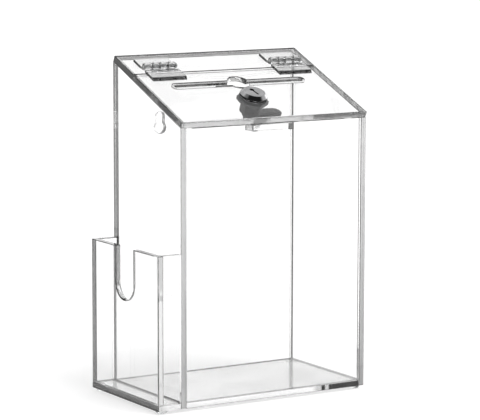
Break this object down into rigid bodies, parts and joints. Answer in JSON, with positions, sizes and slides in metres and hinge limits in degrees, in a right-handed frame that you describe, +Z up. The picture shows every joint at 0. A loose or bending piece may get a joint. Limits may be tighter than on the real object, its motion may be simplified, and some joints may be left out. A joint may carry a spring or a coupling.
{
  "type": "donation box",
  "caption": "Clear acrylic donation box with a sloped hinged lid, a note slot, a cam lock and a leaflet pocket on its left side.",
  "frame": {"origin": "centre of the whole footprint, pocket and lid edge included, on the surface that the feet stand on", "axes": "+Z up, front face towards -Y, +X to the right as the front is seen, so the leaflet pocket is at -X"},
  "size_m": [0.205, 0.117, 0.2888],
  "materials": {
    "clear_acrylic": "clear cast acrylic sheet, polished faces and edges",
    "clear_plastic": "clear moulded plastic, glossy",
    "clear_rubber": "clear soft bumper",
    "lock_chrome": "bright chrome head over a duller zinc barrel",
    "zinc_steel": "zinc-plated pressed steel",
    "wafer_brass": "stamped brass"
  },
  "bodies": {
    "box": {"base_plate": "clear_acrylic", "front_panel": "clear_acrylic", "back_panel": "clear_acrylic", "left_panel": "clear_acrylic", "right_panel": "clear_acrylic", "fixed_top_strip": "clear_acrylic", "catch_block": "clear_acrylic", "pocket_base": "clear_acrylic", "pocket_outer_wall": "clear_acrylic", "pocket_front_wall": "clear_acrylic", "pocket_back_wall": "clear_acrylic", "foot_front_left": "clear_rubber", "foot_front_right": "clear_rubber", "foot_rear_left": "clear_rubber", "foot_rear_right": "clear_rubber", "hinge_left_rear_leaf": "clear_plastic", "hinge_left_pin": "clear_plastic", "hinge_right_rear_leaf": "clear_plastic", "hinge_right_pin": "clear_plastic"},
    "lid": {"hinged_lid": "clear_acrylic", "hinge_left_front_leaf": "clear_plastic", "hinge_right_front_leaf": "clear_plastic", "lock_housing": "lock_chrome", "lock_washer": "zinc_steel", "lock_nut": "zinc_steel"},
    "lock_barrel": {"lock_plug": "lock_chrome", "lock_wafers": "wafer_brass", "lock_cam": "zinc_steel", "cam_washer": "zinc_steel", "cam_screw": "zinc_steel"}
  },
  "joints": [
    {"name": "lid_hinge", "type": "hinge", "parent": "box", "child": "lid", "pos_m": [0, 0.02698, 0.2809], "axis": [-1, 0, 0], "range_deg": [0, 185]},
    {"name": "lock_turn", "type": "hinge", "parent": "lid", "child": "lock_barrel", "pos_m": [0.011, -0.01954, 0.25204], "axis": [0, 0.3811, -0.9245], "range_deg": [0, 90]}
  ]
}
